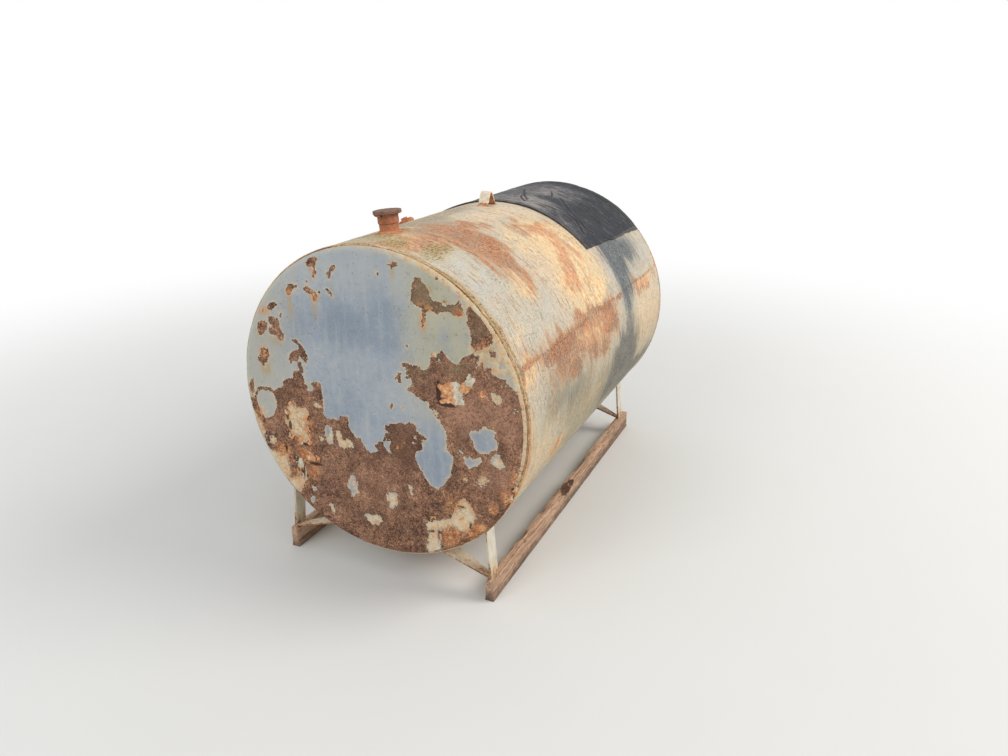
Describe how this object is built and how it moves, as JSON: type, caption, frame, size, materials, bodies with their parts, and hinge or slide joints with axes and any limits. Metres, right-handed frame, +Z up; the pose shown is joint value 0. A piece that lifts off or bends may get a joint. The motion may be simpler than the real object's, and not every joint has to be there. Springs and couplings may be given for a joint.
{
  "type": "horizontal storage tank",
  "caption": "Weathered horizontal steel tank with flanged flat heads, capped fill neck, lifting lug and rubber cover, on splayed bar legs over timber runners.",
  "frame": {"origin": "on the ground, below the middle of the tank", "axes": "+Z up; Y along the tank's axis from the front head to the rear head; +X to the right as seen from the front head"},
  "size_m": [1.223, 1.8288, 1.4123],
  "materials": {
    "shell_paint": "chalky cream paint with rust",
    "head_paint": "chalky grey paint, flaking to rust",
    "rusty_weld": "rusted weld",
    "rusty_fitting": "rusted fitting",
    "lug_paint": "cream paint, rusty at the feet",
    "leg_paint": "weathered pale paint",
    "cover_rubber": "dusty, cracked",
    "runner_timber": "weathered, rotting"
  },
  "bodies": {
    "root": {"shell": "shell_paint", "seam_weld": "rusty_weld", "front_head": "head_paint", "rear_head": "head_paint", "front_head_weld": "rusty_weld", "rear_head_weld": "rusty_weld", "fill_weld": "rusty_weld", "fill_neck": "rusty_fitting", "fill_collar": "rusty_fitting", "fill_catch": "rusty_fitting", "fill_cap": "rusty_fitting", "bung_weld": "rusty_weld", "bung_collar": "rusty_fitting", "bung_plug": "rusty_fitting", "lifting_lug": "lug_paint", "lug_welds": "rusty_weld", "rubber_cover": "cover_rubber", "front_left_post": "leg_paint", "front_right_post": "leg_paint", "rear_left_post": "leg_paint", "rear_right_post": "leg_paint", "front_left_brace": "leg_paint", "front_right_brace": "leg_paint", "rear_left_brace": "leg_paint", "rear_right_brace": "leg_paint", "front_left_welds": "rusty_weld", "front_right_welds": "rusty_weld", "rear_left_welds": "rusty_weld", "rear_right_welds": "rusty_weld", "left_runner": "runner_timber", "right_runner": "runner_timber"}
  },
  "joints": []
}
